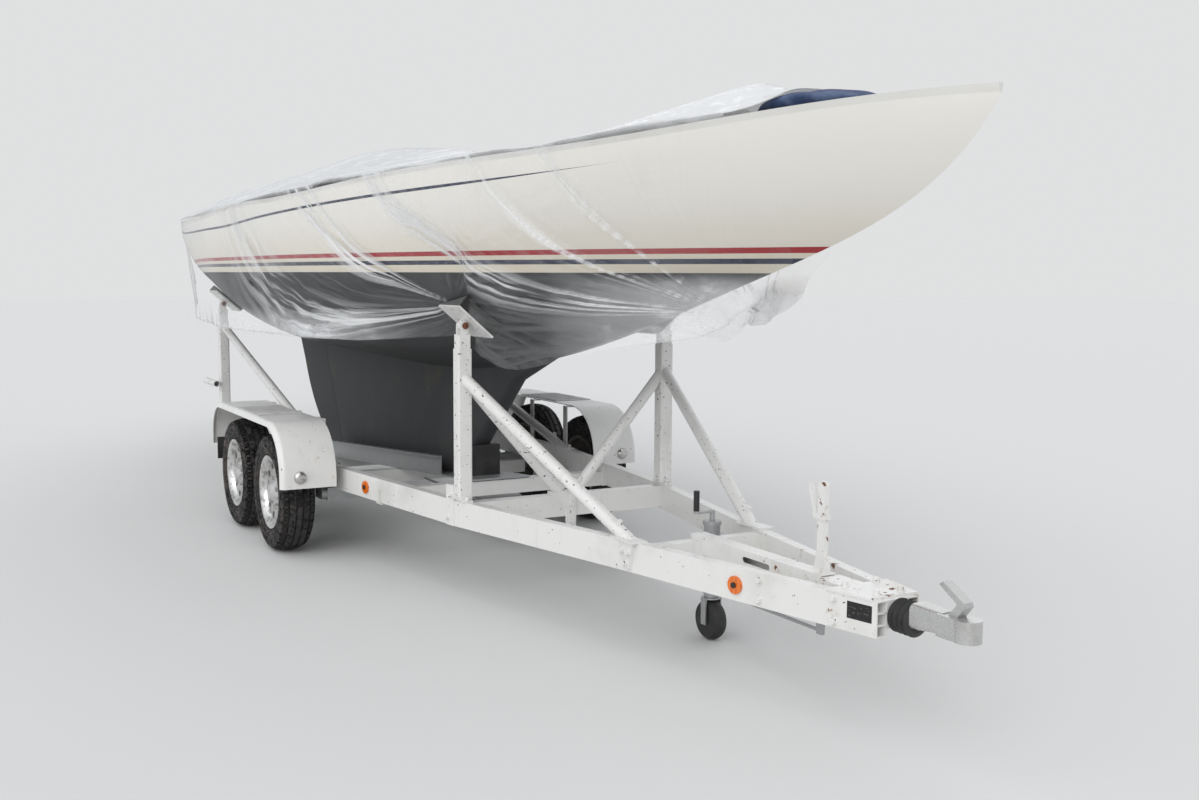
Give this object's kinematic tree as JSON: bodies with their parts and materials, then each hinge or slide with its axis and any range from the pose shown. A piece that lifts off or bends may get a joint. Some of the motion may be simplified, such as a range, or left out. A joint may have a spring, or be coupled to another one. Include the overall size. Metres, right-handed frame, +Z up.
{
  "type": "keelboat on a road trailer",
  "caption": "Long-keeled racing keelboat with raked rudder, under a clear film cover, on a twin-axle road trailer with hull posts, keel bed, overrun coupling and jockey wheel.",
  "frame": {"origin": "on the ground, under the middle of the boat's length", "axes": "+X to the bow, +Y to port, +Z up"},
  "size_m": [8.8822, 1.904, 2.04],
  "materials": {
    "hull_gelcoat": "gloss",
    "deck_gelcoat": "satin",
    "varnished_wood": "varnished",
    "antifouling": "matt paint",
    "ballast_paint": "matt paint",
    "clear_film": "clear film",
    "blue_cloth": "woven",
    "spar": "anodised",
    "white_paint": "satin",
    "galvanised": "dull zinc",
    "zinc": "bright zinc",
    "grey_rubber": "matt",
    "black_rubber": "matt",
    "tyre_rubber": "matt",
    "alloy": "cast, satin",
    "guard_plastic": "satin",
    "lamp_chrome": "polished",
    "pad_carpet": "felt",
    "black_steel": "satin",
    "amber_plastic": "prismatic"
  },
  "bodies": {
    "boat_on_trailer": {"hull": "hull_gelcoat", "deck": "deck_gelcoat", "cockpit_tub": "deck_gelcoat", "coaming": "varnished_wood", "cuddy": "deck_gelcoat", "boom": "spar", "boom_crutch": "varnished_wood", "keel": "antifouling", "ballast": "ballast_paint", "blue_tarpaulin": "blue_cloth", "film_top": "clear_film", "film_port": "clear_film", "film_starboard": "clear_film", "rails": "white_paint", "drawbars": "white_paint", "cross_beams": "white_paint", "keel_bed": "white_paint", "keel_beams": "white_paint", "keel_stop": "black_steel", "posts": "white_paint", "post_inners": "white_paint", "pad_forks": "galvanised", "pad_plates": "galvanised", "pads": "pad_carpet", "braces": "white_paint", "frame_plates": "white_paint", "suspension": "galvanised", "mudguard_port": "guard_plastic", "mudguard_starboard": "guard_plastic", "step_mats": "grey_rubber", "lamps": "lamp_chrome", "overrun_tube": "white_paint", "mast_plate": "zinc", "release_lever": "white_paint", "brake_rod": "white_paint", "mud_flaps": "black_rubber", "reflectors": "amber_plastic", "light_sleeves": "white_paint", "overrun_housing": "white_paint", "overrun_shaft": "zinc", "bellows": "black_rubber", "coupling_head": "zinc", "coupling_handle": "zinc", "brake_lever": "zinc", "jockey_sleeve": "galvanised", "jockey_crank": "galvanised"},
    "rudder": {"rudder": "antifouling", "tiller": "varnished_wood"},
    "jockey_leg": {"jockey_leg": "galvanised"},
    "jockey_fork": {"jockey_fork": "galvanised"},
    "jockey_wheel": {"jockey_wheel": "black_rubber"},
    "front_port_wheel": {"tyre_front_port": "tyre_rubber", "rim_front_port": "alloy"},
    "front_starboard_wheel": {"tyre_front_starboard": "tyre_rubber", "rim_front_starboard": "alloy"},
    "rear_port_wheel": {"tyre_rear_port": "tyre_rubber", "rim_rear_port": "alloy"},
    "rear_starboard_wheel": {"tyre_rear_starboard": "tyre_rubber", "rim_rear_starboard": "alloy"}
  },
  "joints": [
    {"name": "front_port_wheel_spin", "type": "hinge", "parent": "boat_on_trailer", "child": "front_port_wheel", "pos_m": [0.783, 0.851, 0.286], "axis": [0, 1, 0], "continuous": true},
    {"name": "front_starboard_wheel_spin", "type": "hinge", "parent": "boat_on_trailer", "child": "front_starboard_wheel", "pos_m": [0.783, -0.851, 0.286], "axis": [0, 1, 0], "continuous": true},
    {"name": "rear_port_wheel_spin", "type": "hinge", "parent": "boat_on_trailer", "child": "rear_port_wheel", "pos_m": [0.101, 0.851, 0.286], "axis": [0, 1, 0], "continuous": true},
    {"name": "rear_starboard_wheel_spin", "type": "hinge", "parent": "boat_on_trailer", "child": "rear_starboard_wheel", "pos_m": [0.101, -0.851, 0.286], "axis": [0, 1, 0], "continuous": true},
    {"name": "rudder_turn", "type": "hinge", "parent": "boat_on_trailer", "child": "rudder", "pos_m": [-0.86, 0, 0.24], "axis": [-0.4728, 0, 0.8812], "range_deg": [-35, 35]},
    {"name": "jockey_lift", "type": "slide", "parent": "boat_on_trailer", "child": "jockey_leg", "axis": [0, 0, 1], "range_m": [-0.21, 0]},
    {"name": "jockey_swivel", "type": "hinge", "parent": "jockey_leg", "child": "jockey_fork", "pos_m": [3.036, 0.113, 0.12], "axis": [0, 0, 1], "continuous": true},
    {"name": "jockey_wheel_spin", "type": "hinge", "parent": "jockey_fork", "child": "jockey_wheel", "pos_m": [3.036, 0.113, 0.075], "axis": [0, 1, 0], "continuous": true}
  ]
}
